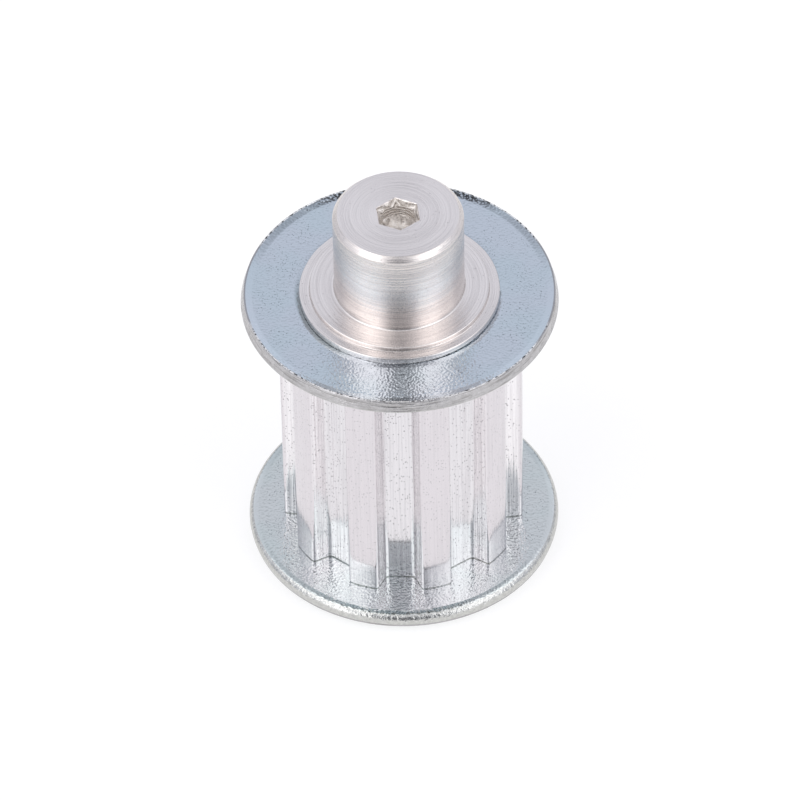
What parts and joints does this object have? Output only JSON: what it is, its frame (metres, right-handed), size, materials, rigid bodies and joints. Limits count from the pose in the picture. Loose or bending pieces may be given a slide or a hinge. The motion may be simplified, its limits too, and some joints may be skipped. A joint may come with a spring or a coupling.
{
  "type": "timing belt pulley",
  "caption": "Flanged timing belt pulley with trapezoidal teeth and a plain hub on one side, left solid for the user to bore.",
  "frame": {"origin": "centre of the plain end face, on the pulley's axis", "axes": "+Z along the pulley's axis from the plain end to the hub, -Y through the middle of a belt groove"},
  "size_m": [0.0194, 0.0194, 0.027],
  "materials": {
    "machined_aluminium": "turned and hobbed, bare, bright with fine machining lines",
    "zinc_plated_steel": "bright zinc plating over stamped sheet, faintly blue and slightly gritty"
  },
  "bodies": {
    "root": {"pulley_body": "machined_aluminium", "hub_side_flange": "zinc_plated_steel", "plain_side_flange": "zinc_plated_steel"}
  },
  "joints": []
}
